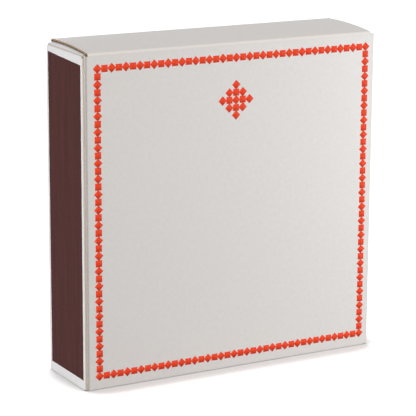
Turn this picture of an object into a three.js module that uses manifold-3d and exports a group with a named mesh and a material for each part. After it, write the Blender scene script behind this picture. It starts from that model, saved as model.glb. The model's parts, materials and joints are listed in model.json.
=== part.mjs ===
// A square matchbox: one folded card carton with a striking strip down its narrow left side, a tuck lid
// hinged on the top edge of its print face, and five rows of long matches standing inside.
// Sizes are in millimetres. X runs along the print face, Y from the print face to the far face, Z is up.
// The origin is on the ground under the middle of the carton.
import * as THREE from "three";
import { mergeVertices } from "three/addons/utils/BufferGeometryUtils.js";
import Module from "manifold-3d";

// Carton
const cartonWidth = 109.5;
const cartonDepth = 28;
const cartonHeight = 110.5; // to the fold between the print face and the lid
const cardThickness = 0.5;
const foldRadius = 0.75; // of the middle of the card
const glueSink = 0.05; // how far two glued layers press into each other
const glueFlapWidth = 13;
const strikerPanelSetback = 0.7; // its raw edge stops this short of the print face
const farPanelDrop = 0.3; // the far panel's cut edge under the lid's level
const cornerRelief = 1.7; // how far a flap's end stays from the carton's corner

// Flaps of the carton
const dustFlapLength = 21;
const dustFlapTaper = 1.5;
const dustFlapCorner = 4;
const dustFlapDip = THREE.MathUtils.degToRad(5);
const bottomDustLength = 22;
const bottomInnerLength = 18;
const bottomRampLength = 6; // an inner bottom flap climbs over this length onto the layer under it
const bottomEdgeLift = 0.1; // of the inner bottom flaps' folds above the ground

// Lid
const tuckRise = 1.3; // how far the tuck fold stands above the print face's top fold
const lidBow = 0.5; // the lid's crown above the line between its two folds
const tongueReach = 12; // of the tuck tongue below the print face's top fold
const tongueShoulder = 1.2; // the tongue is narrower than the lid by this much at each end
const tongueCorner = 9;
const lidClearance = 0.3; // between the lid and any card it passes
const hingeGap = 0.12; // half of the slit along the hinge fold, measured round the fold

// Striking strip, a coating on the left side panel
const strikerThickness = 0.12;
const strikerTopMarginNear = 3.3; // the strip is coated a little out of square
const strikerTopMarginFar = 2.4;
const strikerBottomMargin = 3.4;
const strikerNearMargin = 1.3; // from the panel's raw edge
const strikerFarMargin = 2.2;

// Print on the face: a frame of diamonds and squares, and one lozenge made of the same figures
const inkThickness = 0.1;
const framePeriod = 5.04;
const framePeriods = 20; // on each side
const frameShiftX = 0.55; // of the frame's middle from the middle of the face
const frameShiftZ = -0.25;
const squareSize = 2.2;
const tipSink = 0.06; // how far a diamond's tip runs into the square beside it
const lozengeRings = 2;
const lozengeDrop = 14; // of the lozenge's middle below the frame's top side

// Matches
const splintSize = 2.4;
const headDiameter = 4.5;
const headLength = 6.5;
const headSides = 6;
const headFuse = 0.25; // neighbouring heads in a row stick together by this much
const splintInHead = 3.5;
const matchRows = 5;
const matchHeadroom = 14; // from the print face's top fold down to the heads
const matchSeat = 0.2; // between the splints and the bottom flaps
const matchSideRoom = 0.4; // between a row's end heads and the carton

// Fineness of the curves
const foldDivisions = 3;
const lidDivisions = 8;

// Worked out from the sizes above
const halfCard = cardThickness / 2;
const halfWidth = cartonWidth / 2;
const halfDepth = cartonDepth / 2;
const foldOuter = foldRadius + halfCard;
const wallX = halfWidth - halfCard; // middle of the side panels
const wallY = halfDepth - halfCard; // middle of the print panel and of the far panel
const layerStep = cardThickness - glueSink; // from one glued layer to the next
const wallTop = cartonHeight - foldOuter;
const dustFoldTop = cartonHeight - cardThickness - lidClearance;
const bottomStack = halfCard + 2 * layerStep + halfCard;
const tongueRadius = cartonDepth - cardThickness - lidClearance - halfCard; // about the hinge
const joinLength = 2; // two pieces of one sheet run over each other by this much

const wasm = await Module();
wasm.setup();

// Solids from three.js geometry and back

function solidOf(geometry) {
  const bare = geometry.clone();
  bare.deleteAttribute("normal");
  bare.deleteAttribute("uv");
  const merged = mergeVertices(bare);
  const corners = merged.index.array;
  const kept = [];
  for (let i = 0; i < corners.length; i += 3) {
    const [a, b, c] = corners.slice(i, i + 3);
    if (a !== b && b !== c && c !== a) kept.push(a, b, c);
  }
  const vertProperties = merged.attributes.position.array;
  return new wasm.Manifold(new wasm.Mesh({ numProp: 3, vertProperties, triVerts: new Uint32Array(kept) }));
}

function geometryOf(solid) {
  const { vertProperties, triVerts } = solid.getMesh();
  const geometry = new THREE.BufferGeometry();
  geometry.setAttribute("position", new THREE.BufferAttribute(new Float32Array(vertProperties), 3));
  geometry.setIndex(new THREE.BufferAttribute(new Uint32Array(triVerts), 1));
  geometry.computeVertexNormals();
  return geometry;
}

const joined = (solids) => solids.reduce((all, next) => all.add(next));

// Prisms from drawings: a plan is raised along Z, a side view runs along X, a front view runs along Y

const axisX = new THREE.Vector3(1, 0, 0);
const axisY = new THREE.Vector3(0, 1, 0);
const axisZ = new THREE.Vector3(0, 0, 1);

function prism(shape, low, high, basis) {
  const geometry = new THREE.ExtrudeGeometry(shape, { depth: high - low, bevelEnabled: false });
  geometry.translate(0, 0, low);
  geometry.applyMatrix4(basis);
  return solidOf(geometry);
}

const planBasis = new THREE.Matrix4();
const sideBasis = new THREE.Matrix4().makeBasis(axisY, axisZ, axisX);
const frontBasis = new THREE.Matrix4().makeBasis(axisX, axisZ, axisY.clone().negate());
const planPrism = (shape, lowZ, highZ) => prism(shape, lowZ, highZ, planBasis);
const sidePrism = (shape, lowX, highX) => prism(shape, lowX, highX, sideBasis);
const frontPrism = (shape, lowY, highY) => prism(shape, -highY, -lowY, frontBasis);

function rectangle(lowU, lowV, highU, highV) {
  return new THREE.Shape()
    .moveTo(lowU, lowV)
    .lineTo(highU, lowV)
    .lineTo(highU, highV)
    .lineTo(lowU, highV);
}

// The outline of bent card: half its thickness on each side of the line through its middle.
function cardOutline(middleLine, divisions) {
  const points = middleLine
    .getPoints(divisions)
    .filter((point, i, all) => i === 0 || point.distanceTo(all[i - 1]) > 1e-6);
  const offset = (sign) =>
    points.map((point, i) => {
      const into = point.clone().sub(points[Math.max(i - 1, 0)]).normalize();
      const out = points[Math.min(i + 1, points.length - 1)].clone().sub(point).normalize();
      const along = into.clone().add(out).normalize();
      const reach = (sign * halfCard) / along.dot(i === 0 ? out : into);
      return new THREE.Vector2(point.x - along.y * reach, point.y + along.x * reach);
    });
  return new THREE.Shape([...offset(1), ...offset(-1).reverse()]);
}

// Carton, one folded sheet

// The wrap of panels seen from above, in two halves that meet on the plain right side panel.
function wallWrap() {
  const nearFold = -wallY + foldRadius;
  const farFold = wallY - foldRadius;
  const sideFold = wallX - foldRadius;
  const glueFlapX = -wallX + layerStep; // the glue flap lies inside the striker panel
  const nearHalf = new THREE.Path()
    .moveTo(glueFlapX, -halfDepth + glueFlapWidth)
    .lineTo(glueFlapX, nearFold)
    .absarc(glueFlapX + foldRadius, nearFold, foldRadius, Math.PI, 1.5 * Math.PI)
    .lineTo(sideFold, -wallY)
    .absarc(sideFold, nearFold, foldRadius, -0.5 * Math.PI, 0)
    .lineTo(wallX, joinLength / 2);
  const farHalf = new THREE.Path()
    .moveTo(wallX, -joinLength / 2)
    .lineTo(wallX, farFold)
    .absarc(sideFold, farFold, foldRadius, 0, 0.5 * Math.PI)
    .lineTo(-sideFold, wallY)
    .absarc(-sideFold, farFold, foldRadius, 0.5 * Math.PI, Math.PI)
    .lineTo(-wallX, -halfDepth + strikerPanelSetback);
  return joined([nearHalf, farHalf].map((half) => planPrism(cardOutline(half, foldDivisions), foldOuter, wallTop)));
}

// The far panel's cut top edge stands a little higher than the corner folds beside it.
function farPanelLip() {
  const reach = halfWidth - foldOuter;
  const lip = rectangle(-reach, wallTop - joinLength, reach, cartonHeight - farPanelDrop);
  return frontPrism(lip, halfDepth - cardThickness, halfDepth);
}

// The print panel's half of the lid's hinge fold.
function hingeFoldBelow() {
  const centreY = -halfDepth + foldOuter;
  const fold = new THREE.Path()
    .moveTo(-wallY, wallTop - joinLength)
    .lineTo(-wallY, wallTop)
    .absarc(centreY, wallTop, foldRadius, Math.PI, 0.75 * Math.PI + hingeGap / foldRadius, true);
  const reach = halfWidth - cornerRelief;
  return sidePrism(cardOutline(fold, foldDivisions), -reach, reach);
}

// A top dust flap turns in from a side panel under the lid; side is -1 at the left and 1 at the right.
function topDustFlap(side) {
  const foldZ = dustFoldTop - foldOuter;
  const foldX = side * (wallX - foldRadius);
  const turn = 0.5 * Math.PI + side * dustFlapDip;
  const tipX = foldX + foldRadius * Math.cos(turn) - side * dustFlapLength * Math.cos(dustFlapDip);
  const tipZ = foldZ + foldRadius * Math.sin(turn) - dustFlapLength * Math.sin(dustFlapDip);
  const bend = new THREE.Path()
    .moveTo(side * wallX, foldZ - joinLength)
    .lineTo(side * wallX, foldZ)
    .absarc(foldX, foldZ, foldRadius, side < 0 ? Math.PI : 0, turn, side < 0)
    .lineTo(tipX, tipZ);
  const nearY = -halfDepth + cornerRelief;
  const farY = -halfDepth + tongueRadius - halfCard - 2 * lidClearance;
  const rootX = side * (halfWidth + 1);
  const outline = new THREE.Shape()
    .moveTo(rootX, nearY)
    .lineTo(tipX + side * dustFlapCorner, nearY + dustFlapTaper)
    .quadraticCurveTo(tipX, nearY + dustFlapTaper, tipX, nearY + dustFlapTaper + dustFlapCorner)
    .lineTo(tipX, farY - dustFlapTaper - dustFlapCorner)
    .quadraticCurveTo(tipX, farY - dustFlapTaper, tipX + side * dustFlapCorner, farY - dustFlapTaper)
    .lineTo(rootX, farY);
  const strip = frontPrism(cardOutline(bend, foldDivisions), nearY, farY);
  return strip.intersect(planPrism(outline, foldZ - 2 * joinLength, cartonHeight));
}

// The side panels stop lower than the print panel, so that their dust flaps pass under the lid.
function sidePanelTrim(side) {
  const foldZ = dustFoldTop - foldOuter;
  const outerX = side * (halfWidth + 1);
  const innerX = side * (halfWidth - 2 * cardThickness);
  const notch = rectangle(-halfDepth + foldOuter, foldZ, halfDepth - foldOuter, cartonHeight);
  return sidePrism(notch, Math.min(outerX, innerX), Math.max(outerX, innerX));
}

// The outer bottom flap hangs on the print panel and is glued over the others.
function bottomOuterFlap() {
  const bend = new THREE.Path()
    .moveTo(-wallY, foldOuter + joinLength)
    .lineTo(-wallY, foldOuter)
    .absarc(-wallY + foldRadius, foldOuter, foldRadius, Math.PI, 1.5 * Math.PI)
    .lineTo(wallY - foldRadius, halfCard);
  const reach = halfWidth - cornerRelief;
  return sidePrism(cardOutline(bend, foldDivisions), -reach, reach);
}

// An inner bottom flap leaves its panel just above the ground and climbs onto the layers under it.
function bottomInnerBend(wall, side, layer, length) {
  const foldZ = bottomEdgeLift + foldOuter;
  const foldU = side * (wall - foldRadius);
  const levelZ = halfCard + layer * layerStep;
  return new THREE.Path()
    .moveTo(side * wall, foldZ + joinLength)
    .lineTo(side * wall, foldZ)
    .absarc(foldU, foldZ, foldRadius, side < 0 ? Math.PI : 0, (side < 0 ? 1.5 : -0.5) * Math.PI, side > 0)
    .lineTo(foldU - side * bottomRampLength, levelZ)
    .lineTo(foldU - side * length, levelZ);
}

function bottomInnerFlap() {
  const reach = halfWidth - cornerRelief;
  return sidePrism(cardOutline(bottomInnerBend(wallY, 1, 1, bottomInnerLength), foldDivisions), -reach, reach);
}

function bottomDustFlap(side) {
  const reach = halfDepth - cornerRelief;
  return frontPrism(cardOutline(bottomInnerBend(wallX, side, 2, bottomDustLength), foldDivisions), -reach, reach);
}

function cartonSolid() {
  const walls = joined([wallWrap(), farPanelLip()]).subtract(sidePanelTrim(-1)).subtract(sidePanelTrim(1));
  const top = [hingeFoldBelow(), topDustFlap(-1), topDustFlap(1)];
  const bottom = [bottomOuterFlap(), bottomInnerFlap(), bottomDustFlap(-1), bottomDustFlap(1)];
  return joined([walls, ...top, ...bottom]);
}

// Lid: its half of the hinge fold, the crowned panel, the tuck fold and the tongue. The tongue follows
// a circle about the hinge line, so it slides out of the carton without touching the far panel.
function lidSolid() {
  const hinge = new THREE.Vector2(-halfDepth, cartonHeight);
  const foldCentre = new THREE.Vector2(-halfDepth + foldOuter, wallTop);
  const tuckLift = tuckRise - foldOuter;
  const tuckAngle = Math.asin(tuckLift / (tongueRadius - foldRadius));
  const tuckCentre = new THREE.Vector2(hinge.x + (tongueRadius - foldRadius) * Math.cos(tuckAngle), hinge.y + tuckLift);
  const halfSpan = (tuckCentre.x - foldCentre.x) / 2;
  const halfRise = (tuckCentre.y - foldCentre.y) / 2;
  const startSlope = Math.atan2(halfRise + 2 * lidBow, halfSpan);
  const endSlope = Math.atan2(halfRise - 2 * lidBow, halfSpan);
  const onFold = (centre, slope) =>
    new THREE.Vector2(-Math.sin(slope), Math.cos(slope)).multiplyScalar(foldRadius).add(centre);
  const start = onFold(foldCentre, startSlope);
  const end = onFold(tuckCentre, endSlope);
  const crown = start.clone().add(end).multiplyScalar(0.5);
  crown.y += 2 * lidBow;
  const hingeEdge = 0.75 * Math.PI - hingeGap / foldRadius;
  const tongueEnd = -Math.asin(tongueReach / tongueRadius);
  const middle = new THREE.Path()
    .moveTo(foldCentre.x + foldRadius * Math.cos(hingeEdge), foldCentre.y + foldRadius * Math.sin(hingeEdge))
    .absarc(foldCentre.x, foldCentre.y, foldRadius, hingeEdge, 0.5 * Math.PI + startSlope, true)
    .quadraticCurveTo(crown.x, crown.y, end.x, end.y)
    .absarc(tuckCentre.x, tuckCentre.y, foldRadius, 0.5 * Math.PI + endSlope, tuckAngle, true)
    .absarc(hinge.x, hinge.y, tongueRadius, tuckAngle, tongueEnd, true);
  const reach = halfWidth - cornerRelief;
  const strip = sidePrism(cardOutline(middle, lidDivisions), -reach, reach);
  return strip.intersect(frontPrism(lidOutline(reach), -halfDepth - 1, halfDepth + 1));
}

// The lid seen from the front: full width down to the tuck fold, then the narrower rounded tongue.
function lidOutline(reach) {
  const shoulderZ = wallTop + halfCard;
  const tongueX = reach - tongueShoulder;
  const tipZ = cartonHeight - tongueReach - cardThickness;
  const topZ = cartonHeight + 2 * (tuckRise + lidBow);
  return new THREE.Shape()
    .moveTo(-reach - 1, topZ)
    .lineTo(-reach - 1, shoulderZ)
    .lineTo(-tongueX, shoulderZ)
    .lineTo(-tongueX, tipZ + tongueCorner)
    .quadraticCurveTo(-tongueX, tipZ, -tongueX + tongueCorner, tipZ)
    .lineTo(tongueX - tongueCorner, tipZ)
    .quadraticCurveTo(tongueX, tipZ, tongueX, tipZ + tongueCorner)
    .lineTo(tongueX, shoulderZ)
    .lineTo(reach + 1, shoulderZ)
    .lineTo(reach + 1, topZ);
}

// Striking strip
function strikerSolid() {
  const nearY = -halfDepth + strikerPanelSetback + strikerNearMargin;
  const farY = halfDepth - strikerFarMargin;
  const strip = new THREE.Shape()
    .moveTo(nearY, strikerBottomMargin)
    .lineTo(farY, strikerBottomMargin)
    .lineTo(farY, dustFoldTop - strikerTopMarginFar)
    .lineTo(nearY, dustFoldTop - strikerTopMarginNear);
  return sidePrism(strip, -halfWidth - strikerThickness, -halfWidth);
}

// Print

const squareFigure = (x, z) => {
  const half = squareSize / 2;
  return rectangle(x - half, z - half, x + half, z + half);
};

const diamondFigure = (x, z) => {
  const half = framePeriod / 2 - squareSize / 2 + tipSink;
  return new THREE.Shape()
    .moveTo(x - half, z)
    .lineTo(x, z - half)
    .lineTo(x + half, z)
    .lineTo(x, z + half);
};

// Diamonds stand on the even places of a grid of half periods, squares on the odd ones.
const figureAt = (column, row, x, z) => ((column + row) % 2 === 0 ? diamondFigure(x, z) : squareFigure(x, z));
const inked = (figures) => joined(figures.map((figure) => frontPrism(figure, -halfDepth - inkThickness, -halfDepth)));
const frameCentreZ = cartonHeight / 2 + frameShiftZ;
const figureStep = framePeriod / 2;

function framePrintSolid() {
  const last = 2 * framePeriods;
  const figures = [];
  for (let column = 0; column <= last; column++) {
    for (let row = 0; row <= last; row++) {
      const inside = column > 0 && column < last && row > 0 && row < last;
      if (inside) continue;
      const x = frameShiftX + (column - framePeriods) * figureStep;
      const z = frameCentreZ + (row - framePeriods) * figureStep;
      figures.push(figureAt(column, row, x, z));
    }
  }
  return inked(figures);
}

function lozengePrintSolid() {
  const centreZ = frameCentreZ + framePeriods * figureStep - lozengeDrop;
  const figures = [];
  for (let column = -lozengeRings; column <= lozengeRings; column++) {
    const reach = lozengeRings - Math.abs(column);
    for (let row = -reach; row <= reach; row++) {
      figures.push(figureAt(column, row, frameShiftX + column * figureStep, centreZ + row * figureStep));
    }
  }
  return inked(figures);
}

// Matches

const matchFoot = bottomStack + matchSeat;
const matchTop = cartonHeight - matchHeadroom;
const innerDepth = cartonDepth - 2 * cardThickness;
const rowLow = -halfWidth + cardThickness + layerStep + matchSideRoom; // beside the glue flap
const rowHigh = halfWidth - cardThickness - matchSideRoom;
const headPitch = headDiameter - headFuse;
const matchesInRow = Math.floor((rowHigh - rowLow - headDiameter) / headPitch) + 1;

// One match standing on its foot at the middle of its splint, head up.
function matchSolid() {
  const radius = headDiameter / 2;
  const outline = [
    [0, 0],
    [radius, headLength * 0.25],
    [radius, headLength * 0.65],
    [radius * 0.6, headLength * 0.92],
    [0, headLength],
  ].map(([r, z]) => new THREE.Vector2(r, z));
  const head = new THREE.LatheGeometry(outline, headSides, Math.PI / 2);
  head.rotateX(Math.PI / 2);
  head.translate(0, 0, matchTop - headLength);
  const half = splintSize / 2;
  const splint = planPrism(rectangle(-half, -half, half, half), matchFoot, matchTop - headLength + splintInHead);
  return splint.add(solidOf(head));
}

// A full row, middle of the row at the origin in X and Y.
function matchRowSolid() {
  const match = matchSolid();
  const firstX = -((matchesInRow - 1) * headPitch) / 2;
  const places = Array.from({ length: matchesInRow }, (_, i) => firstX + i * headPitch);
  return joined(places.map((x) => match.translate([x, 0, 0])));
}

// Materials

const material = (color, roughness) => new THREE.MeshStandardMaterial({ color, roughness, metalness: 0 });
const cardFinish = material(0xe9e6e1, 0.72);
const strikerFinish = material(0x53352f, 0.95);
const inkFinish = material(0xee4f2c, 0.65);
const matchFinish = material(0xdcc192, 0.7);

// Assembly

function named(name, geometry, finish) {
  const mesh = new THREE.Mesh(geometry, finish);
  mesh.name = name;
  return mesh;
}

const matchbox = new THREE.Group();
matchbox.add(
  named("carton", geometryOf(cartonSolid()), cardFinish),
  named("lid", geometryOf(lidSolid()), cardFinish),
  named("striker_strip", geometryOf(strikerSolid()), strikerFinish),
  named("border_print", geometryOf(framePrintSolid()), inkFinish),
  named("lozenge_print", geometryOf(lozengePrintSolid()), inkFinish),
);

const matches = new THREE.Group();
matches.position.x = (rowLow + rowHigh) / 2;
const rowGeometry = geometryOf(matchRowSolid());
for (let row = 0; row < matchRows; row++) {
  const mesh = named(`match_row_${row + 1}`, rowGeometry, matchFinish);
  mesh.position.y = (row + 0.5 - matchRows / 2) * (innerDepth / matchRows);
  matches.add(mesh);
}
matchbox.add(matches);

export default matchbox;
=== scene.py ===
import json
import math
import random

import bpy
from mathutils import Matrix, Vector


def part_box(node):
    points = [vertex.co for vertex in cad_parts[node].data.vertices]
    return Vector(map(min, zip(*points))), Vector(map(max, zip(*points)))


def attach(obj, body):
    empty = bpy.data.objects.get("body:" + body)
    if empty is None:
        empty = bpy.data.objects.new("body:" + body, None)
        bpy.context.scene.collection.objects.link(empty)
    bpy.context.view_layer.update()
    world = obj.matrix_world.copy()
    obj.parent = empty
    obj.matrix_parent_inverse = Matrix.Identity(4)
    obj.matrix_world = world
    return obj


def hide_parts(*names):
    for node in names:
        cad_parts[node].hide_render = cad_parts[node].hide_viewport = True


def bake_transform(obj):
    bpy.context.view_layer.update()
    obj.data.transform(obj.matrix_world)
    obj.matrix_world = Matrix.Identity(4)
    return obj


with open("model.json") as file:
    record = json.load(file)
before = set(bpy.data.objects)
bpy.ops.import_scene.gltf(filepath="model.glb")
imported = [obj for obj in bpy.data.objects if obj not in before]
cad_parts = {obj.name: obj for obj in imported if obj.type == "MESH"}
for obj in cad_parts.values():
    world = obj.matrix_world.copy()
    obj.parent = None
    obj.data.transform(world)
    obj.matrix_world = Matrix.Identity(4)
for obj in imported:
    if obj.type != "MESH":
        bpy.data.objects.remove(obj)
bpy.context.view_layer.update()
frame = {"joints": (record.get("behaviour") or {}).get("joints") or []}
print("stage: frame loaded")

# All sizes below are in millimetres; meshes are written in metres.
metresPerMm = 0.001
lidHinge = next(joint for joint in frame["joints"] if joint["name"] == "lid_hinge")
cartonLow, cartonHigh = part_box("carton")
halfWidth = (cartonHigh.x - cartonLow.x) / 2 / metresPerMm
halfDepth = (cartonHigh.y - cartonLow.y) / 2 / metresPerMm
lidLevel = lidHinge["pos_m"][2] / metresPerMm  # where the print face folds over into the lid

card = {
    "thickness": 0.5,
    "foldRadius": 0.75,  # of the middle of the card
    "bottomFoldRadius": 0.28,  # the glued bottom was pressed sharper
    "foldSteps": 10,
    "panelStep": 5.0,  # widest spacing of the mesh on a flat panel
    "besideFold": 0.3,  # a mesh line this close to each fold keeps the flat panel's shading flat
    "cornerRelief": 1.7,  # a flap's end stays this far from the carton's corner
    "crispAngle": math.radians(35),  # an edge that turns more than this is a cut, not a fold
}
halfCard = card["thickness"] / 2
foldRadius = card["foldRadius"]
foldOuter = foldRadius + halfCard
bottomFold = card["bottomFoldRadius"]
bottomOuter = bottomFold + halfCard
wallX = halfWidth - halfCard
wallY = halfDepth - halfCard
wallTop = lidLevel - foldOuter
flapReach = halfWidth - card["cornerRelief"]


# Nodes and colours

def linearColour(hexCode):  # sRGB hex to linear RGBA
    channels = [int(hexCode[i:i + 2], 16) / 255 for i in (1, 3, 5)]
    return [c / 12.92 if c <= 0.04045 else ((c + 0.055) / 1.055) ** 2.4 for c in channels] + [1.0]


def addNode(tree, kind, links=None, **settings):
    # A link is a plain value, a socket, or a node that gives its first output in use. On a colour mix
    # node, sockets 0, 6 and 7 are the factor and the two colours.
    node = tree.nodes.new(kind)
    for name, value in settings.items():
        setattr(node, name, value)
    for name, value in (links or {}).items():
        if isinstance(value, bpy.types.Node):
            value = next(socket for socket in value.outputs if socket.enabled)
        if isinstance(value, bpy.types.NodeSocket):
            tree.links.new(value, node.inputs[name])
        else:
            node.inputs[name].default_value = value
    return node


def startMaterial(name):
    material = bpy.data.materials.new(name)
    material.use_nodes = True
    tree = material.node_tree
    tree.nodes.clear()
    return material, tree, addNode(tree, "ShaderNodeTexCoord").outputs["Object"]


def patternScale(featureMm, stretch=(1, 1, 1)):
    # Makes one noise cell about featureMm wide, and stretch times as long along each axis.
    return [1 / (featureMm * metresPerMm * s) for s in stretch]


# Folding boxboard, clay coated and calendered: nearly white, satin, with a faint cloudy fibre pattern.
# Along its folds the coating is stretched and shows a little of the grey board; the same grey is painted
# shade in the groove of the glued seam and along the dust flaps' creases, and a brighter colour is a
# painted highlight along the lid's hinge fold.
coatedBoard = {
    "base": "#e0ddda",
    "cloud": "#dcd9d5",
    "cloudMm": 1.4,
    "cloudSpan": (0.3, 0.7),  # of the noise, from all base to all cloud
    "fibreMm": 0.22,  # drawn coarser than real fibres so that it shows
    "fibreDepthMm": 0.02,
    "relief": 0.35,  # strength of the bump
    "detail": 4.0,  # octaves of the noise
    # Grey of worn folds, and painted shade in the seam's groove and the dust flaps' creases.
    "greyWearAndShade": "#958c80",
    "scuffSpan": (0.3, 0.7),  # of the fibre noise, from the least to the most scuffed patches
    "scuffShares": (0.6, 1.0),  # how much of a fold's wear and painted shade shows in those
    "hingeHighlight": "#fdf3ea",  # painted highlight along the lid's hinge fold
    "roughness": 0.44,  # satin, so the rounded folds catch a soft line of light
    "ior": 1.46,
}


def makeCoatedBoard():
    spec = coatedBoard
    material, tree, place = startMaterial("coated folding boxboard")
    cloudPlace = addNode(tree, "ShaderNodeMapping", {
        "Vector": place, "Scale": patternScale(spec["cloudMm"]),
    })
    cloudNoise = addNode(tree, "ShaderNodeTexNoise", {
        "Vector": cloudPlace, "Scale": 1.0, "Detail": spec["detail"],
    })
    cloud = addNode(tree, "ShaderNodeMapRange", {
        "Value": cloudNoise, "From Min": spec["cloudSpan"][0], "From Max": spec["cloudSpan"][1],
    })
    fibrePlace = addNode(tree, "ShaderNodeMapping", {
        "Vector": place, "Scale": patternScale(spec["fibreMm"]),
    })
    fibre = addNode(tree, "ShaderNodeTexNoise", {
        "Vector": fibrePlace, "Scale": 1.0, "Detail": spec["detail"],
    })
    clean = addNode(tree, "ShaderNodeMix", {
        0: cloud, 6: linearColour(spec["base"]), 7: linearColour(spec["cloud"]),
    }, data_type="RGBA")
    # The fold mark: below 0 a painted highlight, above 0 grey, which is wear on most folds and painted
    # shade in the seam's groove and the dust flaps' creases.
    fold = addNode(tree, "ShaderNodeAttribute", attribute_name="foldWearShadeShine").outputs["Fac"]
    highlightShare = addNode(tree, "ShaderNodeMapRange", {"Value": fold, "From Min": 0.0, "From Max": -1.0})
    highlighted = addNode(tree, "ShaderNodeMix", {
        0: highlightShare, 6: clean, 7: linearColour(spec["hingeHighlight"]),
    }, data_type="RGBA")
    patches = addNode(tree, "ShaderNodeMapRange", {
        "Value": fibre, "From Min": spec["scuffSpan"][0], "From Max": spec["scuffSpan"][1],
        "To Min": spec["scuffShares"][0], "To Max": spec["scuffShares"][1],
    })
    wornAndShaded = addNode(tree, "ShaderNodeMath", {0: fold, 1: patches}, operation="MULTIPLY", use_clamp=True)
    colour = addNode(tree, "ShaderNodeMix", {
        0: wornAndShaded, 6: highlighted, 7: linearColour(spec["greyWearAndShade"]),
    }, data_type="RGBA")
    relief = addNode(tree, "ShaderNodeBump", {
        "Height": fibre, "Distance": spec["fibreDepthMm"] * metresPerMm, "Strength": spec["relief"],
    })
    shader = addNode(tree, "ShaderNodeBsdfPrincipled", {
        "Base Color": colour, "Roughness": spec["roughness"], "IOR": spec["ior"], "Normal": relief,
    })
    addNode(tree, "ShaderNodeOutputMaterial", {"Surface": shader})
    return material


# The board's uncoated back, pressed from reclaimed pulp: brown grey, dull, with visible fibre
# lying upright.
boardBack = {
    "name": "uncoated board back",
    "base": "#b8a184",
    "grain": "#a08a6c",
    "grainMm": 0.5,
    "grainStretch": (1, 1, 2.5),
    "grainDepthMm": 0.04,
    "grainSpan": (0.35, 0.7),  # of the noise, from all base to all grain
    "grainMost": 1.0,  # the largest share of the grain's colour
    "detail": 5.0,
    "relief": 0.5,
    "roughness": 0.85,
    "ior": 1.46,
    "specular": 0.5,
}

# A die-cut edge of the board: tan pulp, slightly furred by the knife.
boardEdge = {
    "name": "die-cut board edge",
    "base": "#eadfd1",
    "grain": "#d7c8b5",
    "grainMm": 0.35,
    "grainStretch": (1, 1, 1),
    "grainDepthMm": 0.05,
    "grainSpan": (0.4, 0.75),
    "grainMost": 1.0,
    "detail": 4.0,
    "relief": 0.6,
    "roughness": 0.9,
    "ior": 1.46,
    "specular": 0.5,
}

# The lid's cut edge is darker brown: painted shade that thickens the shadow line under the lid's edge.
shadedLidEdge = {**boardEdge, "name": "lid board edge with painted shade", "base": "#a58a6f", "grain": "#876b51"}

# Offset ink on the coated board: flat orange red, duller than the board, thin enough to mottle.
frameInk = {
    "name": "orange red offset ink",
    "base": "#e93e15",
    "grain": "#f1502a",
    "grainMm": 0.45,
    "grainStretch": (1, 1, 1),
    "grainDepthMm": 0.01,
    "grainSpan": (0.4, 0.8),
    "grainMost": 0.5,
    "detail": 3.0,
    "relief": 0.3,
    "roughness": 0.55,
    "ior": 1.48,
    "specular": 0.25,  # the ink has sunk into the coating
}

# Aspen splint: sawn and tumbled, pale straw, straight grain with a few darker lines.
aspen = {
    "name": "tumbled aspen splint",
    "base": "#e2cda2",
    "grain": "#c9a974",
    "grainMm": 0.45,
    "grainStretch": (1, 1, 40),
    "grainDepthMm": 0.05,
    "grainSpan": (0.45, 0.75),
    "grainMost": 1.0,
    "detail": 4.0,
    "relief": 0.5,
    "roughness": 0.75,
    "ior": 1.5,
    "specular": 0.5,
}

# Match head: dipped chlorate paste, brick red, matt and finely grained.
matchPaste = {
    "name": "dipped match paste",
    "base": "#a83a2e",
    "grain": "#8c2d25",
    "grainMm": 0.3,
    "grainStretch": (1, 1, 1),
    "grainDepthMm": 0.08,
    "grainSpan": (0.4, 0.7),
    "grainMost": 1.0,
    "detail": 3.0,
    "relief": 0.7,
    "roughness": 0.8,
    "ior": 1.5,
    "specular": 0.5,
}


def makeGrained(spec):
    # A finish whose colour and relief both follow one grain.
    material, tree, place = startMaterial(spec["name"])
    scale = patternScale(spec["grainMm"], spec["grainStretch"])
    grainPlace = addNode(tree, "ShaderNodeMapping", {"Vector": place, "Scale": scale})
    grain = addNode(tree, "ShaderNodeTexNoise", {
        "Vector": grainPlace, "Scale": 1.0, "Detail": spec["detail"],
    })
    shade = addNode(tree, "ShaderNodeMapRange", {
        "Value": grain, "From Min": spec["grainSpan"][0], "From Max": spec["grainSpan"][1],
        "To Max": spec["grainMost"],
    })
    colour = addNode(tree, "ShaderNodeMix", {
        0: shade, 6: linearColour(spec["base"]), 7: linearColour(spec["grain"]),
    }, data_type="RGBA")
    relief = addNode(tree, "ShaderNodeBump", {
        "Height": grain, "Distance": spec["grainDepthMm"] * metresPerMm, "Strength": spec["relief"],
    })
    shader = addNode(tree, "ShaderNodeBsdfPrincipled", {
        "Base Color": colour, "Roughness": spec["roughness"], "IOR": spec["ior"],
        "Specular IOR Level": spec["specular"], "Normal": relief,
    })
    addNode(tree, "ShaderNodeOutputMaterial", {"Surface": shader})
    return material


# Striking coat: red phosphorus and powdered glass in a binder, rolled on. Dark maroon brown, dead matt,
# with fine paler specks from the grit and faint streaks along the roller's travel.
strikingCoat = {
    "base": "#492825",
    "streak": "#402220",
    "streakMm": 1.6,
    "streakStretch": (1, 1, 22),
    "streakSpan": (0.35, 0.7),
    "grit": "#5e3a34",
    "gritMm": 0.28,  # coarser than real grit, so that it shows
    "gritSpan": (0.58, 0.75),
    "gritDepthMm": 0.06,
    "detail": 2.0,
    "relief": 0.7,
    "roughness": 0.85,
    "ior": 1.5,
    "specular": 0.15,  # the porous grit swallows most of the gloss
}


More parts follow.
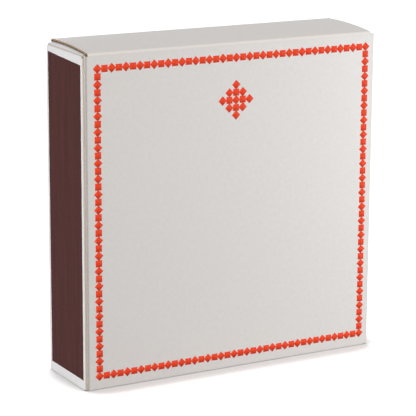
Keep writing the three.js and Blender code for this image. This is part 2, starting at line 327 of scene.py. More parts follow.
def makeStrikingCoat():
    spec = strikingCoat
    material, tree, place = startMaterial("phosphorus striking coat")
    scale = patternScale(spec["streakMm"], spec["streakStretch"])
    streakPlace = addNode(tree, "ShaderNodeMapping", {"Vector": place, "Scale": scale})
    streakNoise = addNode(tree, "ShaderNodeTexNoise", {
        "Vector": streakPlace, "Scale": 1.0, "Detail": spec["detail"],
    })
    streak = addNode(tree, "ShaderNodeMapRange", {
        "Value": streakNoise, "From Min": spec["streakSpan"][0], "From Max": spec["streakSpan"][1],
    })
    ground = addNode(tree, "ShaderNodeMix", {
        0: streak, 6: linearColour(spec["base"]), 7: linearColour(spec["streak"]),
    }, data_type="RGBA")
    gritPlace = addNode(tree, "ShaderNodeMapping", {
        "Vector": place, "Scale": patternScale(spec["gritMm"]),
    })
    grit = addNode(tree, "ShaderNodeTexNoise", {
        "Vector": gritPlace, "Scale": 1.0, "Detail": spec["detail"],
    })
    speck = addNode(tree, "ShaderNodeMapRange", {
        "Value": grit, "From Min": spec["gritSpan"][0], "From Max": spec["gritSpan"][1],
    })
    colour = addNode(tree, "ShaderNodeMix", {
        0: speck, 6: ground, 7: linearColour(spec["grit"]),
    }, data_type="RGBA")
    relief = addNode(tree, "ShaderNodeBump", {
        "Height": grit, "Distance": spec["gritDepthMm"] * metresPerMm, "Strength": spec["relief"],
    })
    shader = addNode(tree, "ShaderNodeBsdfPrincipled", {
        "Base Color": colour, "Roughness": spec["roughness"], "IOR": spec["ior"],
        "Specular IOR Level": spec["specular"], "Normal": relief,
    })
    addNode(tree, "ShaderNodeOutputMaterial", {"Surface": shader})
    return material


# Mesh building

joinDecimals = 4  # points that agree to this many decimals of a millimetre are one
slack = 1e-6  # for comparing lengths that should be equal


def startMesh():
    return {"points": [], "lookup": {}, "faces": [], "slots": [], "wearShadeShine": {}}


def vertexAt(mesh, point, wearShadeShine=0.0):
    # Points that fall on each other are one vertex, so patches of one sheet join up.
    key = tuple(round(c, joinDecimals) for c in point)
    if key not in mesh["lookup"]:
        mesh["lookup"][key] = len(mesh["points"])
        mesh["points"].append(Vector(point) * metresPerMm)
    index = mesh["lookup"][key]
    mesh["wearShadeShine"][index] = max(wearShadeShine, mesh["wearShadeShine"].get(index, 0.0), key=abs)
    return index


def addFace(mesh, corners, slot=0):
    if len(set(corners)) > 2:
        mesh["faces"].append(corners)
        mesh["slots"].append(slot)


def addPatch(mesh, rows, flip=False, rowWearShadeShine=None, columnWearShadeShine=None):
    # rows are lines of points; a face looks along (row direction) x (direction from row to row).
    rowWearShadeShine = rowWearShadeShine or [0.0] * len(rows)
    columnWearShadeShine = columnWearShadeShine or [0.0] * len(rows[0])
    lines = [[vertexAt(mesh, p, max(rowWearShadeShine[i], columnWearShadeShine[j], key=abs)) for j, p in enumerate(row)]
             for i, row in enumerate(rows)]
    for below, above in zip(lines, lines[1:]):
        for i in range(len(below) - 1):
            corners = [below[i], below[i + 1], above[i + 1], above[i]]
            addFace(mesh, corners[::-1] if flip else corners)


def makeObject(name, mesh, materials):
    data = bpy.data.meshes.new(name)
    data.from_pydata(mesh["points"], [], mesh["faces"])
    for material in materials:
        data.materials.append(material)
    data.polygons.foreach_set("material_index", mesh["slots"])
    data.polygons.foreach_set("use_smooth", [True] * len(data.polygons))
    piece = bpy.data.objects.new(name, data)
    bpy.context.scene.collection.objects.link(piece)
    return piece


def applyModifiers(piece):
    bpy.context.view_layer.update()
    shaped = piece.evaluated_get(bpy.context.evaluated_depsgraph_get())
    piece.data = bpy.data.meshes.new_from_object(shaped)
    piece.modifiers.clear()


def sharpenEdges(piece, angle):
    # Edges between two materials, and edges that turn more than angle, stay crisp.
    data = piece.data
    sides = {}
    for face in data.polygons:
        for key in face.edge_keys:
            sides.setdefault(key, []).append(face)
    crisp = []
    for edge in data.edges:
        faces = sides.get(edge.key, [])
        if len(faces) != 2:
            crisp.append(True)
            continue
        turned = faces[0].normal.angle(faces[1].normal, 0.0)
        crisp.append(faces[0].material_index != faces[1].material_index or turned > angle)
    sharp = data.attributes.get("sharp_edge") or data.attributes.new("sharp_edge", "BOOLEAN", "EDGE")
    sharp.data.foreach_set("value", crisp)


def makeSheet(name, mesh, materials):
    # The mesh is the middle of the card; the back and the cut edges come from its thickness.
    # The fold mark above 0 is grey, from wear and from painted shade, and below 0 a painted highlight.
    piece = makeObject(name, mesh, materials)
    wearShadeShine = piece.data.attributes.new("foldWearShadeShine", "FLOAT", "POINT")
    wearShadeShine.data.foreach_set("value", [mesh["wearShadeShine"][i] for i in range(len(mesh["points"]))])
    thick = piece.modifiers.new("thickness", "SOLIDIFY")
    thick.thickness = card["thickness"] * metresPerMm
    thick.offset = 0.0
    thick.use_even_offset = True
    thick.use_quality_normals = True
    thick.material_offset = 1
    thick.material_offset_rim = 2
    applyModifiers(piece)
    sharpenEdges(piece, card["crispAngle"])
    return piece


def spaced(low, high, extras=()):
    # Stations from low to high and at each extra, with one close beside each end, and never wider
    # apart than panelStep.
    near = card["besideFold"]
    marks = {low, high, low + near, high - near}
    marks.update(extras)
    stations = sorted(mark for mark in marks if low <= mark <= high)
    filled = []
    for a, b in zip(stations, stations[1:]):
        count = max(1, math.ceil((b - a) / card["panelStep"]))
        filled += [a + (b - a) * i / count for i in range(count)]
    return filled + [high]


def arcPoints(centre, radius, start, end, steps):
    angles = [start + (end - start) * i / steps for i in range(steps + 1)]
    return [(centre[0] + radius * math.cos(a), centre[1] + radius * math.sin(a)) for a in angles]


# Carton, one folded sheet

carton = {
    "glueFlapWidth": 13.0,
    "glueLine": 0.02,
    "strikerSetback": 0.7,  # the striker panel's raw edge stops this short of the print face
    "farPanelDrop": 0.3,
    "sideDrop": 0.62,  # beside the print face the dust flaps fold this much lower than the lid
    "sideRise": 0.5,  # their crease runs out of square and is this much higher at the far panel
    "sideRiseFrom": 20.0,  # the rise fades out over this height of the side panels
    "dustLength": 21.0,
    "dustTaper": 1.5,
    "dustCorner": 4.0,
    "dustCornerSlack": 0.01,  # the corner's arc starts this much past the mesh row that it begins at
    "dustCornerRows": 6,
    "dustRows": (0.3, 0.7, 1.1, 1.5, 2.2, 3, 6, 9, 12, 15),  # mesh rows, dense where the flap springs up
    "dustDip": math.radians(5),
    "dustSpring": 2.2,  # the flaps spring up against the lid within this distance of their folds
    "dustUnderLid": 0.18,
    "dustFarGap": 1.65,  # room for the tongue between the dust flaps and the far panel's face
    "bottomOuterEnd": 2.0,  # the outer bottom flap stops this short of the far panel's face
    "bottomInnerLength": 18.0,
    "bottomDustLength": 22.0,
    "bottomRamp": 6.0,
    "bottomLayer": 0.45,  # from one glued bottom layer to the next
    "seamShade": 0.95,  # painted shade: grey in the groove beside the striker panel's raw edge, fading round the seam's fold
    "seamShadedShare": 0.7,  # of the fold, before the grey starts to fade
    # Wear on the corner folds and the bottom flaps' folds.
    "foldWearShadeShine": 0.12,
    "dustCreaseShade": 0.95,  # painted shade: a thin grey line in the crease where the dust flaps turn in
    "dustCreaseRows": 2.4,  # mesh rows on each side of that crease until it has faded
}
sideTop = wallTop - carton["sideDrop"]
farTop = lidLevel - carton["farPanelDrop"]
dustNear = -halfDepth + card["cornerRelief"]
dustFar = halfDepth - carton["dustFarGap"]


def sideRise(y, z, share=1.0):
    # How much a point of a side panel is raised; share fades it out round the far folds.
    along = min(1.0, max(0.0, (y + wallY - foldRadius) / (2 * (wallY - foldRadius))))
    below = min(1.0, max(0.0, 1 - (sideTop - z) / carton["sideRiseFrom"]))
    above = min(1.0, max(0.0, (wallTop - z) / (wallTop - sideTop)))
    return carton["sideRise"] * along * below * above * share


def wrapStations():
    # The wrap of panels seen from above: each panel or fold in order, with its stations as (x, y).
    nearFold = -wallY + foldRadius
    farFold = wallY - foldRadius
    sideFold = wallX - foldRadius
    glueX = -wallX + card["thickness"] + carton["glueLine"]
    steps = card["foldSteps"]
    quarter = math.pi / 2
    dust = (dustNear, dustFar, halfDepth - card["cornerRelief"])
    rawEdge = -halfDepth + carton["strikerSetback"]
    return [
        ("glue", [(glueX, y) for y in reversed(spaced(nearFold, -halfDepth + carton["glueFlapWidth"]))]),
        ("seam", arcPoints((glueX + foldRadius, nearFold), foldRadius, 2 * quarter, 3 * quarter, steps)),
        ("print", [(x, -wallY) for x in spaced(glueX + foldRadius, sideFold, (-flapReach, flapReach))]),
        ("fold", arcPoints((sideFold, nearFold), foldRadius, -quarter, 0, steps)),
        ("right", [(wallX, y) for y in spaced(nearFold, farFold, dust)]),
        ("fold", arcPoints((sideFold, farFold), foldRadius, 0, quarter, steps)),
        ("far", [(x, wallY) for x in reversed(spaced(-sideFold, sideFold, (-flapReach, flapReach)))]),
        ("fold", arcPoints((-sideFold, farFold), foldRadius, quarter, 2 * quarter, steps)),
        ("striker", [(-wallX, y) for y in reversed(spaced(rawEdge, farFold, dust))]),
    ]


def wallHeights(top):
    levels = spaced(bottomOuter, farTop, (sideTop, wallTop))
    return [z for z in levels if z <= top + slack]


def addWalls(mesh):
    tops = {"glue": sideTop, "seam": wallTop, "print": wallTop, "fold": wallTop, "right": sideTop,
            "far": farTop, "striker": sideTop}
    for panel, line in wrapStations():
        last = len(line) - 1
        wearShadeShine = [carton["foldWearShadeShine"] if panel == "fold" else 0.0] * len(line)
        # Painted shade on the seam's fold: grey beside the raw edge, fading round the fold.
        if panel == "seam":
            full = carton["seamShadedShare"]
            wearShadeShine = [carton["seamShade"] * min(1.0, (1 - i / last) / (1 - full)) for i in range(len(line))]
        raised = panel in ("right", "striker", "fold")
        rows = []
        for z in wallHeights(tops[panel]):
            shares = [max(0.0, (abs(x) - wallX) / foldRadius + 1) * raised for x, y in line]
            rows.append([(x, y, z + sideRise(y, z, share)) for (x, y), share in zip(line, shares)])
        addPatch(mesh, rows, columnWearShadeShine=wearShadeShine)


def foldedProfile(radius, bend, straight, steps):
    # Distance in from the panel and distance past the hinge line, from a fold of bend radians on.
    fold = [(radius * (1 - math.cos(bend * i / steps)), radius * math.sin(bend * i / steps))
            for i in range(steps + 1)]
    endIn, endUp = fold[-1]
    run = [(endIn + d * math.sin(bend), endUp + d * math.cos(bend)) for d in straight]
    return fold + run


def flapInsets(profileLength, foldCount, straight, taper, corner):
    # How far each row's ends draw in: a steady taper, then a round corner at the tip.
    insets = [0.0] * foldCount
    for d in straight:
        past = max(0.0, d - (profileLength - corner))
        insets.append(taper * d / profileLength + corner - math.sqrt(max(corner ** 2 - past ** 2, 0.0)))
    return insets


def addFlap(mesh, panel, low, high, hingeZ, upward, profile, insets, lift=None):
    # A flap on a panel: its rows run along the panel's stations between low and high.
    line = next(points for name, points in wrapStations() if name == panel)
    axis = 0 if panel in ("print", "far") else 1
    inward = {"print": (0, 1), "far": (0, -1), "right": (-1, 0), "striker": (1, 0)}[panel]
    along = [p for p in line if low - slack <= p[axis] <= high + slack]
    middle = (low + high) / 2
    rows = []
    for (depth, past), inset in zip(profile, insets):
        shrink = 1 - 2 * inset / (high - low)
        row = []
        for point in along:
            spot = list(point)
            spot[axis] = middle + (point[axis] - middle) * shrink
            spot = [spot[0] + inward[0] * depth, spot[1] + inward[1] * depth]
            raised = lift(spot[1], depth) + sideRise(point[1], sideTop) if lift else 0.0
            row.append((*spot, hingeZ + raised + past if upward else hingeZ - past))
        rows.append(row)
    crease = card["foldSteps"] // 2
    # On the dust flaps this grey is painted shade along the crease; on the bottom flaps it is wear.
    most = carton["dustCreaseShade" if upward else "foldWearShadeShine"]
    fade = carton["dustCreaseRows"] if upward else crease
    wearShadeShine = [most * max(0.0, 1 - abs(i - crease) / fade) for i in range(len(rows))]
    addPatch(mesh, rows, flip=not upward, rowWearShadeShine=wearShadeShine)


def dustLift(y, depth):
    # The lid bows upwards over the dust flaps because they push up against its underside.
    profile = lidProfile()[0]
    over = [(a, b) for a, b in zip(profile, profile[1:]) if a[0] <= y <= b[0]]
    (lowY, lowZ), (highY, highZ) = over[0]
    underside = lowZ + (highZ - lowZ) * (y - lowY) / max(highY - lowY, slack) - halfCard
    room = max(0.0, underside - carton["dustUnderLid"] - sideTop - sideRise(y, sideTop) - foldOuter)
    share = min(1.0, depth / carton["dustSpring"])
    return room * share * share * (3 - 2 * share)  # eased at both ends


def addDustFlap(mesh, panel):
    length = carton["dustLength"]
    corner = carton["dustCorner"]
    steps = card["foldSteps"]
    tip = carton["dustCornerRows"]
    straight = [*carton["dustRows"], length - corner]
    straight += [length - corner * (1 - math.sin(math.pi / 2 * i / tip)) for i in range(1, tip + 1)]
    profile = foldedProfile(foldRadius, math.pi / 2 + carton["dustDip"], straight, steps)
    arc = corner - carton["dustCornerSlack"]
    insets = flapInsets(length, steps + 1, straight, carton["dustTaper"], arc)
    addFlap(mesh, panel, dustNear, dustFar, sideTop, True, profile, insets, dustLift)


def addBottomFlap(mesh, panel, reach, length, layer):
    steps = card["foldSteps"]
    profile = foldedProfile(bottomFold, math.pi / 2, [], steps)
    ramp = carton["bottomRamp"] if layer else card["besideFold"]
    level = bottomFold - layer * carton["bottomLayer"]
    profile += [(bottomFold + ramp, level)]
    count = math.ceil((length - ramp) / card["panelStep"])
    profile += [(bottomFold + ramp + (length - ramp) * (i + 1) / count, level) for i in range(count)]
    addFlap(mesh, panel, -reach, reach, bottomOuter, False, profile, [0.0] * len(profile))


def makeCarton(materials):
    mesh = startMesh()
    addWalls(mesh)
    addDustFlap(mesh, "right")
    addDustFlap(mesh, "striker")
    sideReach = halfDepth - card["cornerRelief"]
    outerLength = 2 * halfDepth - card["thickness"] - carton["bottomOuterEnd"]
    addBottomFlap(mesh, "print", flapReach, outerLength, 0)
    addBottomFlap(mesh, "far", flapReach, carton["bottomInnerLength"], 1)
    addBottomFlap(mesh, "right", sideReach, carton["bottomDustLength"], 2)
    addBottomFlap(mesh, "striker", sideReach, carton["bottomDustLength"], 2)
    piece = makeSheet("cartonCard", mesh, materials)
    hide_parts("carton")
    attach(piece, "carton")


# Lid: the rest of the same sheet, from the print face's fold over the crown down to the tuck tongue

lid = {
    "tuckRise": 1.3,  # the tuck fold stands this far above the print face's top fold
    "bow": 0.5,
    "tongueReach": 12.0,
    "tongueShoulder": 1.2,
    "tongueCorner": 9.0,
    "tongueCornerShare": 0.98,  # of the round corner's inset, so the tip's last row keeps its width
    "clearance": 0.3,  # between the tongue and the far panel
    "crownSteps": 14,
    "tongueSteps": 12,
    "hingeHighlightStrength": 0.28,  # strength of the painted highlight along the hinge fold
    "tuckWear": 0.1,
}


def lidProfile():
    # Middle lines seen from the side, as (y, z): the crown with its two folds, and the tongue.
    tongueRadius = 2 * halfDepth - card["thickness"] - lid["clearance"] - halfCard
    hinge = (-halfDepth, lidLevel)
    foldCentre = (-halfDepth + foldOuter, wallTop)
    tuckLift = lid["tuckRise"] - foldOuter
    tuckAngle = math.asin(tuckLift / (tongueRadius - foldRadius))
    tuckCentre = (hinge[0] + (tongueRadius - foldRadius) * math.cos(tuckAngle), hinge[1] + tuckLift)
    halfSpan = (tuckCentre[0] - foldCentre[0]) / 2
    halfRise = (tuckCentre[1] - foldCentre[1]) / 2
    startAngle = math.pi / 2 + math.atan2(halfRise + 2 * lid["bow"], halfSpan)
    endAngle = math.pi / 2 + math.atan2(halfRise - 2 * lid["bow"], halfSpan)
    hingeFold = arcPoints(foldCentre, foldRadius, math.pi, startAngle, card["foldSteps"])
    tuckFold = arcPoints(tuckCentre, foldRadius, endAngle, tuckAngle, card["foldSteps"])
    start = Vector(hingeFold[-1])
    end = Vector(tuckFold[0])
    crown = (start + end) / 2 + Vector((0, 2 * lid["bow"]))
    shares = [i / lid["crownSteps"] for i in range(1, lid["crownSteps"])]
    panel = [start * (1 - t) ** 2 + crown * 2 * t * (1 - t) + end * t ** 2 for t in shares]
    lowest = -math.asin(lid["tongueReach"] / tongueRadius)
    tongue = arcPoints(hinge, tongueRadius, tuckAngle, lowest, lid["tongueSteps"])
    profile = hingeFold + [tuple(p) for p in panel] + tuckFold
    return profile, tongue


def makeLid(materials):
    mesh = startMesh()
    profile, tongue = lidProfile()
    tongueX = flapReach - lid["tongueShoulder"]
    across = spaced(-flapReach, flapReach, (-tongueX, tongueX))
    steps = card["foldSteps"]
    wearShadeShine = [0.0] * len(profile)
    # A painted highlight along the hinge fold, brightest in the middle of its arc.
    wearShadeShine[:steps + 1] = [-lid["hingeHighlightStrength"] * math.sin(math.pi * i / steps) for i in range(steps + 1)]
    wearShadeShine[-steps - 1:] = [lid["tuckWear"]] * (steps + 1)
    addPatch(mesh, [[(x, y, z) for x in across] for y, z in profile], rowWearShadeShine=wearShadeShine)
    narrower = [x for x in across if abs(x) <= tongueX + slack]
    corner = lid["tongueCorner"]
    tip = tongue[-1][1]
    rows = []
    for y, z in tongue:
        past = max(0.0, corner - (z - tip)) / corner
        inset = corner * (1 - math.sqrt(max(1 - past ** 2, 0.0))) * lid["tongueCornerShare"]
        rows.append([(x * (1 - inset / tongueX), y, z) for x in narrower])
    addPatch(mesh, rows)
    piece = makeSheet("lidCard", mesh, materials)
    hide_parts("lid")
    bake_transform(piece)


# Striking strip, printed a little out of square on the narrow left side

striker = {
    "thickness": 0.06,
    "bottomMargin": 3.4,
    "topMarginFar": 2.4,
    "topMarginNear": 3.3,
    "nearMargin": 1.3,
    "farMargin": 2.2,
    "edgeWander": 0.04,
    "columns": 12,  # of the mesh, across the strip
    "rows": 52,
    "seed": 11,
    "crispAngle": math.radians(35),
}


def makeStriker(material):
    mesh = startMesh()
    wander = random.Random(striker["seed"])
    nearY = -halfDepth + carton["strikerSetback"] + striker["nearMargin"]
    farY = halfDepth - striker["farMargin"]
    lowZ = striker["bottomMargin"]
    sideFold = sideTop + foldOuter
    lastColumn = striker["columns"]
    lastRow = striker["rows"]
    columns = [farY + (nearY - farY) * i / lastColumn for i in range(lastColumn + 1)]
    rows = []
    for j in range(lastRow + 1):
        row = []
        for i, y in enumerate(columns):
            share = (farY - y) / (farY - nearY)
            highZ = sideFold - striker["topMarginFar"] * (1 - share) - striker["topMarginNear"] * share
            highZ += sideRise(y, sideTop)
            z = lowZ + (highZ - lowZ) * j / lastRow
            onSide = i in (0, lastColumn)
            onEnd = j in (0, lastRow)
            drift = wander.uniform(-1, 1) * striker["edgeWander"] if onSide or onEnd else 0.0
            row.append((-halfWidth, y + drift * onSide, z + drift * onEnd))
        rows.append(row)
    addPatch(mesh, rows)
    piece = makeObject("strikingStrip", mesh, [material])
    coat = piece.modifiers.new("coat", "SOLIDIFY")
    coat.thickness = striker["thickness"] * metresPerMm
    coat.offset = 1.0
    applyModifiers(piece)
    sharpenEdges(piece, striker["crispAngle"])
    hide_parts("striker_strip")
    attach(piece, "carton")


# Print: diamonds and squares take turns round the face, and thirteen of them make a lozenge

printed = {
    "period": 5.04,
    "periods": 20,
    "shiftX": 0.55,
    "shiftZ": -0.25,
    "square": 2.25,
    "squareThickness": 0.035,
    "diamond": 3.15,  # from tip to tip
    "diamondThickness": 0.03,
    "sunk": 0.01,  # into the board, so no gap shows behind the ink
    "wander": 0.035,  # how unevenly the figures are drawn
    "lozengeRings": 2,
    "lozengeDrop": 14.0,
    "frameSeed": 3,
    "lozengeSeed": 4,
    "crispAngle": math.radians(35),
}


def addFigure(mesh, outline, thickness):
    front = -halfDepth - thickness
    back = -halfDepth + printed["sunk"]
    near = [vertexAt(mesh, (x, front, z)) for x, z in outline]
    far = [vertexAt(mesh, (x, back, z)) for x, z in outline]
    addFace(mesh, near)
    addFace(mesh, far[::-1])
    for i in range(len(outline)):
        j = (i + 1) % len(outline)
        addFace(mesh, [near[j], near[i], far[i], far[j]])


def figureCorners(isDiamond):
    if isDiamond:
        reach = printed["diamond"] / 2
        return [(-reach, 0), (0, -reach), (reach, 0), (0, reach)]
    half = printed["square"] / 2
    return [(-half, -half), (half, -half), (half, half), (-half, half)]


def makePrint(name, node, cells, middleX, middleZ, seed, material):
    mesh = startMesh()
    wander = random.Random(seed)
    step = printed["period"] / 2
    for column, row in cells:
        isDiamond = (column + row) % 2 == 0
        outline = [(middleX + column * step + u + wander.uniform(-1, 1) * printed["wander"],
                    middleZ + row * step + v + wander.uniform(-1, 1) * printed["wander"])
                   for u, v in figureCorners(isDiamond)]
        addFigure(mesh, outline, printed["diamondThickness" if isDiamond else "squareThickness"])
    piece = makeObject(name, mesh, [material])
    sharpenEdges(piece, printed["crispAngle"])
    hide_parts(node)
    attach(piece, "carton")


def makePrints(material):
    middleZ = lidLevel / 2 + printed["shiftZ"]
    last = printed["periods"]
    span = range(-last, last + 1)
    ring = [(i, j) for i in span for j in span if last in (abs(i), abs(j))]
    shiftX = printed["shiftX"]
    makePrint("framePrint", "border_print", ring, shiftX, middleZ, printed["frameSeed"], material)
    rings = printed["lozengeRings"]
    span = range(-rings, rings + 1)
    lozenge = [(i, j) for i in span for j in span if abs(i) + abs(j) <= rings]
    lozengeZ = middleZ + last * printed["period"] / 2 - printed["lozengeDrop"]
    seed = printed["lozengeSeed"]
    makePrint("lozengePrint", "lozenge_print", lozenge, shiftX, lozengeZ, seed, material)


# Matches, five rows of single splints with dipped heads

matches = {
    "pitch": 4.25,
    "rowEndSpan": 4.5,  # a row is this much longer than its pitches together
    "splint": 2.3,
    "splintBevel": 0.15,
    "headLength": 6.4,
    "headWidth": 4.1,
    "headProud": 0.2,  # most that a head is wider than the row's CAD solid
    "headSides": 16,
    "headRings": 9,
    "headFullness": 0.72,  # 1 is an ellipsoid, and less is fuller
    "headLumps": 0.03,  # how uneven its skin is, as a share of the radius
    "leastHeadWidth": 0.96,  # as a share of the full width
    "leastHeadLength": 0.93,  # as a share of the full length
    "splintInHead": 3.0,
    "scatter": 0.1,  # most that a match stands out of its row's line
    "lean": 0.12,  # most that a splint's top strays from upright
    "sink": 0.6,  # most that one match stands lower than its neighbour
    "rows": 5,
    "seed": 100,
    "crispAngle": math.radians(40),
}


def addSplint(mesh, base, top, width):
    bevel = matches["splintBevel"]
    half = width / 2
    cut = half - bevel
    section = [(-cut, -half), (cut, -half), (half, -cut), (half, cut),
               (cut, half), (-cut, half), (-half, cut), (-half, -cut)]
    low = [vertexAt(mesh, (base[0] + u, base[1] + v, base[2])) for u, v in section]
    high = [vertexAt(mesh, (top[0] + u, top[1] + v, top[2])) for u, v in section]
    addFace(mesh, low[::-1])
    addFace(mesh, high)
    for i in range(len(section)):
        j = (i + 1) % len(section)
        addFace(mesh, [low[i], low[j], high[j], high[i]])


def addHead(mesh, top, width, length, chance):
    # An egg on end, with a slightly uneven skin.
    sides = matches["headSides"]
    rings = matches["headRings"]
    lump = matches["headLumps"]
    apex = vertexAt(mesh, top)
    foot = vertexAt(mesh, (top[0], top[1], top[2] - length))
    lines = []
    for k in range(1, rings):
        turn = math.pi * k / rings
        radius = width / 2 * math.sin(turn) ** matches["headFullness"]
        z = top[2] - length / 2 + length / 2 * math.cos(turn)
        ring = []
        for i in range(sides):
            angle = 2 * math.pi * i / sides
            r = radius * (1 + chance.uniform(-lump, lump))
            ring.append(vertexAt(mesh, (top[0] + r * math.cos(angle), top[1] + r * math.sin(angle), z)))
        lines.append(ring)
    for i in range(sides):
        j = (i + 1) % sides
        addFace(mesh, [apex, lines[0][i], lines[0][j]], 1)
        addFace(mesh, [foot, lines[-1][j], lines[-1][i]], 1)
        for upper, lower in zip(lines, lines[1:]):
            addFace(mesh, [upper[i], lower[i], lower[j], upper[j]], 1)


def makeMatchRow(number, materials):
    node = f"match_row_{number}"
    low, high = (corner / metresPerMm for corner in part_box(node))
    cadHead = high.y - low.y
    count = round((high.x - low.x - matches["rowEndSpan"]) / matches["pitch"]) + 1
    chance = random.Random(matches["seed"] + number)
    scatter = matches["scatter"]
    mesh = startMesh()
    middleY = (low.y + high.y) / 2
    for i in range(count):
        x = low.x + matches["rowEndSpan"] / 2 + i * matches["pitch"]
        y = middleY + chance.uniform(-scatter, scatter)
        topZ = high.z - chance.uniform(0, matches["sink"])
        lean = Vector((chance.uniform(-1, 1), chance.uniform(-1, 1), 0)) * matches["lean"]
        top = Vector((x, y, topZ)) + lean
        width = min(matches["headWidth"], cadHead + matches["headProud"])
        width *= chance.uniform(matches["leastHeadWidth"], 1.0)
        length = matches["headLength"] * chance.uniform(matches["leastHeadLength"], 1.0)
        splintTop = top - Vector((0, 0, matches["splintInHead"]))
        addSplint(mesh, Vector((x, y, low.z)), splintTop, matches["splint"])
        addHead(mesh, top, width, length, chance)
    piece = makeObject(f"matchRow{number}", mesh, materials)
    sharpenEdges(piece, matches["crispAngle"])
    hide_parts(node)
    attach(piece, "carton")


# Build the matchbox

coated = makeCoatedBoard()
back = makeGrained(boardBack)
makeCarton([coated, back, makeGrained(boardEdge)])
print("stage: carton folded")
makeLid([coated, back, makeGrained(shadedLidEdge)])
print("stage: lid folded")
makeStriker(makeStrikingCoat())
makePrints(makeGrained(frameInk))
print("stage: strip and print laid on")
matchFinishes = [makeGrained(aspen), makeGrained(matchPaste)]
for rowNumber in range(1, matches["rows"] + 1):
    makeMatchRow(rowNumber, matchFinishes)
print("stage: matches standing")


# Studio

studio = {
    "floor": "#cbcac9",
    "floorRoughness": 0.9,
    "floorHalf": 6000.0,
    "floorLift": 1.0,  # of white where seen or mirrored, so the floor reads white round the shadow
    "contactLean": (-0.15, 0.4, 1.0),  # the shading leans so, to reach further in front of the box
    "contactReach": 12.5,  # how far the box shades the floor beside it
    "besideWall": 0.5,  # openness of the floor right beside a tall wall, and where the shadow has gone
    "openFloor": 0.88,
    "contactLift": 0.16,  # what is left of the lift right beside a wall
    "contactCurve": 1.4,  # above 1, the shadow stays dark for longer before it fades
    "ambient": "#f1f6ff",
    "ambientStrength": 0.27,
}


def seenDirectly(tree):
    # 1 for the camera and for what mirrors or glass would show it, 0 for light that falls on the box.
    paths = addNode(tree, "ShaderNodeLightPath").outputs
    mirrored = addNode(tree, "ShaderNodeMath", {
        0: paths["Is Camera Ray"], 1: paths["Is Glossy Ray"],
    }, operation="MAXIMUM")
    return addNode(tree, "ShaderNodeMath", {
        0: mirrored, 1: paths["Is Transmission Ray"],
    }, operation="MAXIMUM")


def makeFloor():
    mesh = startMesh()
    reach = studio["floorHalf"]
    addPatch(mesh, [[(-reach, -reach, 0), (reach, -reach, 0)], [(-reach, reach, 0), (reach, reach, 0)]])
    material, tree, place = startMaterial("white studio floor")
    lean = Vector(studio["contactLean"]).normalized()
    leaning = addNode(tree, "ShaderNodeCombineXYZ", {"X": lean.x, "Y": lean.y, "Z": lean.z})
    openness = addNode(tree, "ShaderNodeAmbientOcclusion", {
        "Distance": studio["contactReach"] * metresPerMm, "Normal": leaning,
    }).outputs["AO"]
    share = addNode(tree, "ShaderNodeMapRange", {
        "Value": openness, "From Min": studio["besideWall"], "From Max": studio["openFloor"],
    })
    curved = addNode(tree, "ShaderNodeMath", {0: share, 1: studio["contactCurve"]}, operation="POWER")
    most = studio["floorLift"]
    glow = addNode(tree, "ShaderNodeMapRange", {
        "Value": curved, "To Min": studio["contactLift"] * most, "To Max": most,
    })
    lift = addNode(tree, "ShaderNodeMath", {0: seenDirectly(tree), 1: glow}, operation="MULTIPLY")
    shader = addNode(tree, "ShaderNodeBsdfPrincipled", {
        "Base Color": linearColour(studio["floor"]), "Roughness": studio["floorRoughness"],
        "Specular IOR Level": 0.0, "Emission Color": (1, 1, 1, 1), "Emission Strength": lift,
    })
    addNode(tree, "ShaderNodeOutputMaterial", {"Surface": shader})
    floor = makeObject("studioFloor", mesh, [material])


def makeWorld():
    world = bpy.data.worlds.new("studio surround")
    bpy.context.scene.world = world
    world.use_nodes = True
    tree = world.node_tree
    tree.nodes.clear()
    ambient = addNode(tree, "ShaderNodeBackground", {
        "Color": linearColour(studio["ambient"]), "Strength": studio["ambientStrength"],
    })
    white = addNode(tree, "ShaderNodeBackground", {"Color": (1, 1, 1, 1), "Strength": 1.0})
    mixed = addNode(tree, "ShaderNodeMixShader", {0: seenDirectly(tree), 1: ambient, 2: white})
    addNode(tree, "ShaderNodeOutputWorld", {"Surface": mixed})


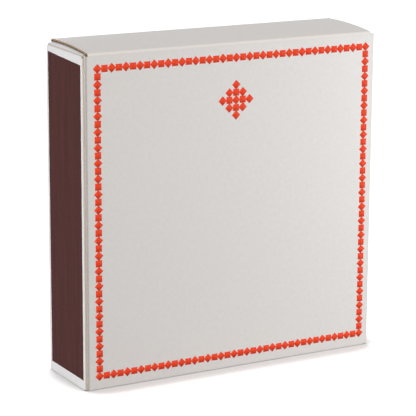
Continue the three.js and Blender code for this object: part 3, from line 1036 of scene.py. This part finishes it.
# Square lamps that all face the middle of the box.
softboxes = {
    "keySoftbox": {"place": (60, -571, 823), "size": 390, "watts": 4.88, "colour": "#fff9f2"},
    "rightSoftbox": {"place": (220, -150, 70), "size": 120, "watts": 0.25, "colour": "#f6fbff"},
    "sideSoftbox": {"place": (-700, -60, 50), "size": 120, "watts": 3.15, "colour": "#f7f8fd"},
    "backSoftbox": {"place": (150, 700, 60), "size": 200, "watts": 2.3, "colour": "#fffdfa"},
}


def addSoftbox(name):
    spec = softboxes[name]
    light = bpy.data.lights.new(name, "AREA")
    light.shape = "SQUARE"
    light.size = spec["size"] * metresPerMm
    light.energy = spec["watts"]
    light.color = linearColour(spec["colour"])[:3]
    lamp = bpy.data.objects.new(name, light)
    bpy.context.scene.collection.objects.link(lamp)
    lamp.location = Vector(spec["place"]) * metresPerMm
    lamp.visible_camera = False
    aim = Vector((0, 0, lidLevel / 2 * metresPerMm)) - lamp.location
    lamp.rotation_euler = aim.to_track_quat("-Z", "Y").to_euler()


camera = {
    "place": (-315.4, -553.01, 203.16),
    "yaw": math.radians(29.551),
    "pitch": math.radians(13.339),
    "roll": math.radians(0.28),
    "lens": 167.85,
    "sensor": 36.0,
    "clipStart": 0.01,  # both in metres
    "clipEnd": 50.0,
}


def makeCamera():
    data = bpy.data.cameras.new("studioCamera")
    data.lens = camera["lens"]
    data.sensor_width = camera["sensor"]
    data.clip_start = camera["clipStart"]
    data.clip_end = camera["clipEnd"]
    viewer = bpy.data.objects.new("studioCamera", data)
    bpy.context.scene.collection.objects.link(viewer)
    viewer.location = Vector(camera["place"]) * metresPerMm
    heading = Matrix.Rotation(-camera["yaw"], 3, "Z")
    tilt = Matrix.Rotation(math.pi / 2 - camera["pitch"], 3, "X")
    level = Matrix.Rotation(camera["roll"], 3, "Z")
    viewer.rotation_euler = (heading @ tilt @ level).to_euler()
    bpy.context.scene.camera = viewer


makeFloor()
makeWorld()
for softbox in softboxes:
    addSoftbox(softbox)
makeCamera()
bpy.context.scene.view_settings.view_transform = "Standard"
print("stage: studio lit")
